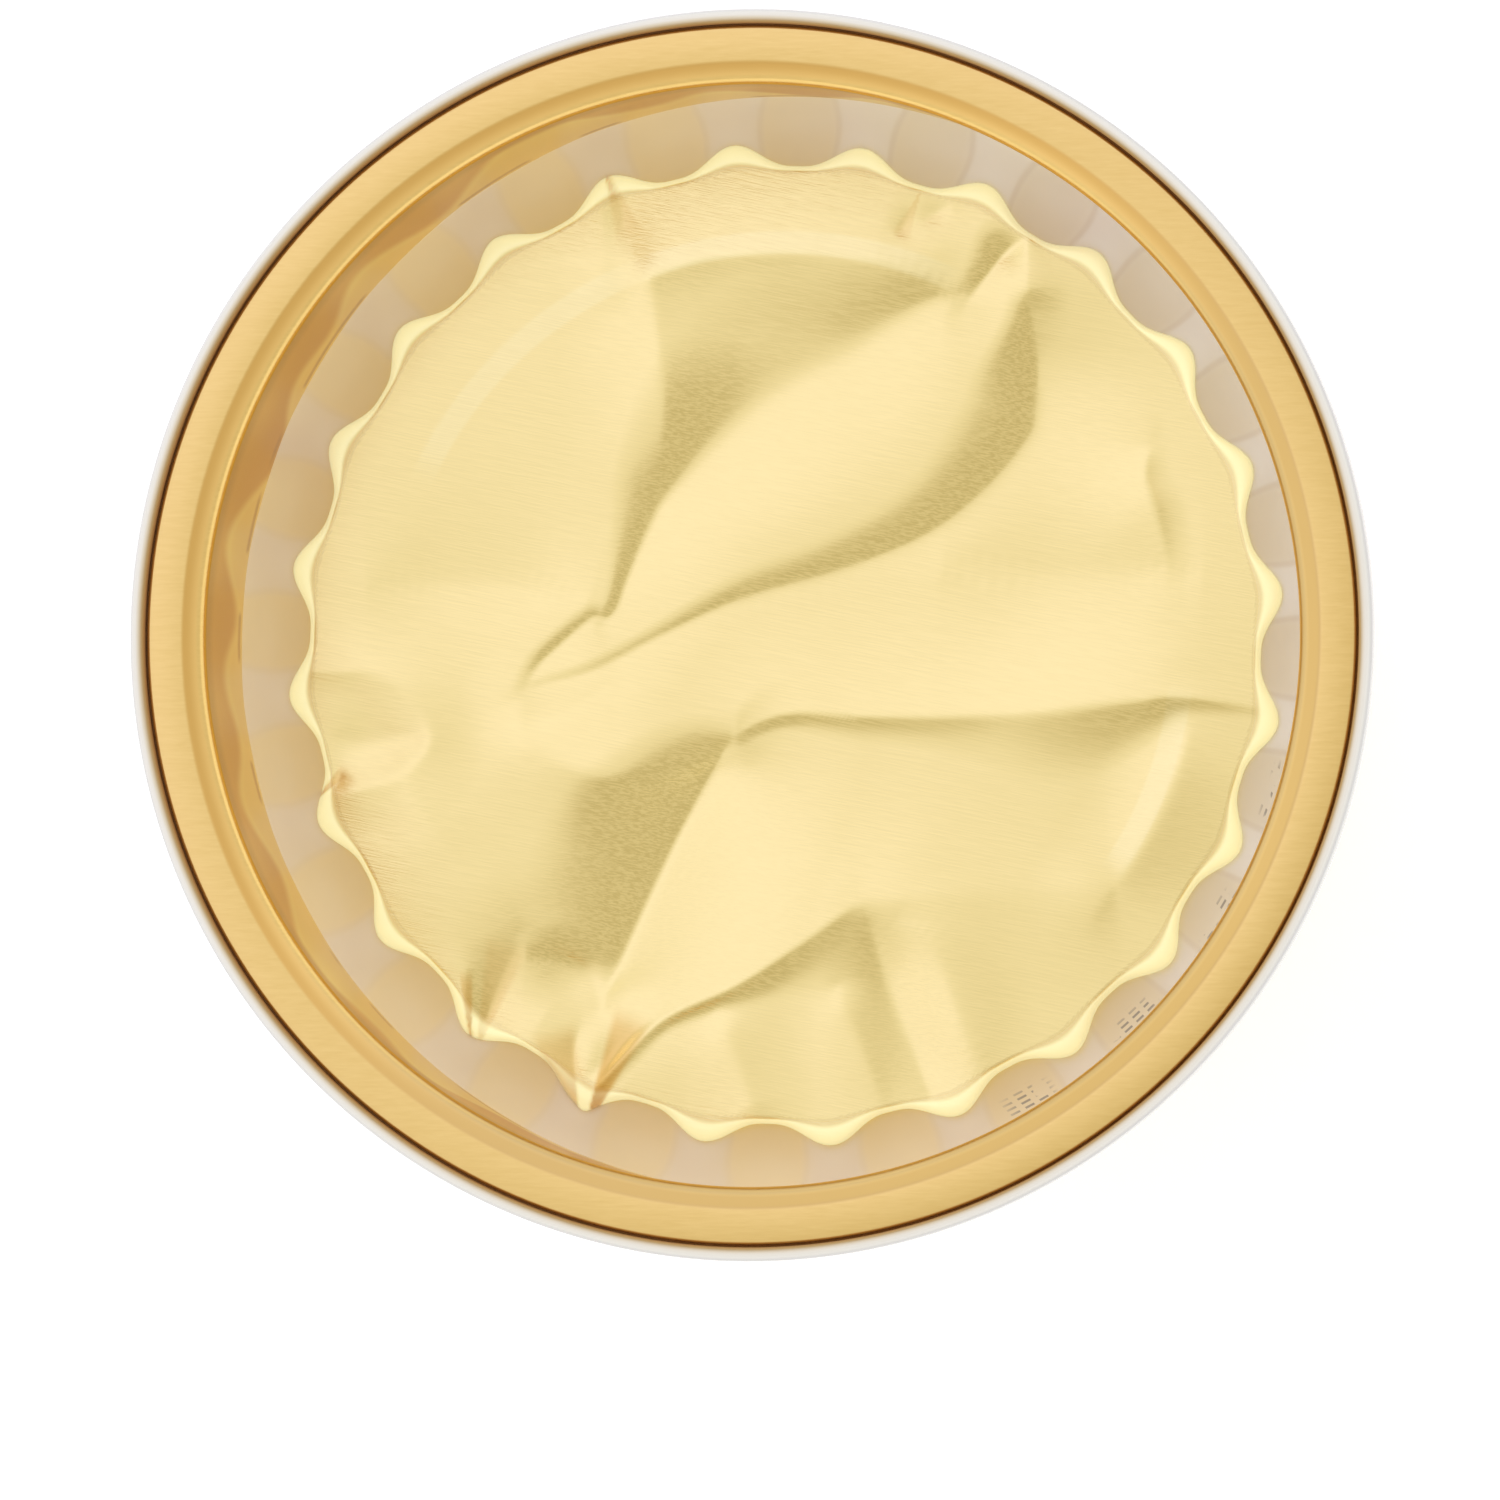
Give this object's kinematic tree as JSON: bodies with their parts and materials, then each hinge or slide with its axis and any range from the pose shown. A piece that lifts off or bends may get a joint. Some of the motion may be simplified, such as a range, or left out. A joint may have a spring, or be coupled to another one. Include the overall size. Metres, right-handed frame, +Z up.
{
  "type": "yogurt pot",
  "caption": "Tapered white yogurt pot with a rolled rim, gold lip ring, pleated translucent liner and crumpled fluted gold foil seal.",
  "frame": {"origin": "centre of the pot's foot, on the surface it stands on", "axes": "+Z up along the pot's axis; +Y points away from a person who looks down into the pot; the foil's deepest pinch is towards -Y"},
  "size_m": [0.099, 0.099, 0.095],
  "materials": {
    "pot_white": "smooth glossy white",
    "ring_gold": "gold-lacquered metal with a fine brushed grain",
    "liner_film": "thin pleated translucent film, satin",
    "foil_gold": "crumpled gold foil with a brushed hairline grain"
  },
  "bodies": {
    "root": {"pot_body": "pot_white", "gold_ring": "ring_gold", "pleated_liner": "liner_film", "foil_seal": "foil_gold"}
  },
  "joints": []
}
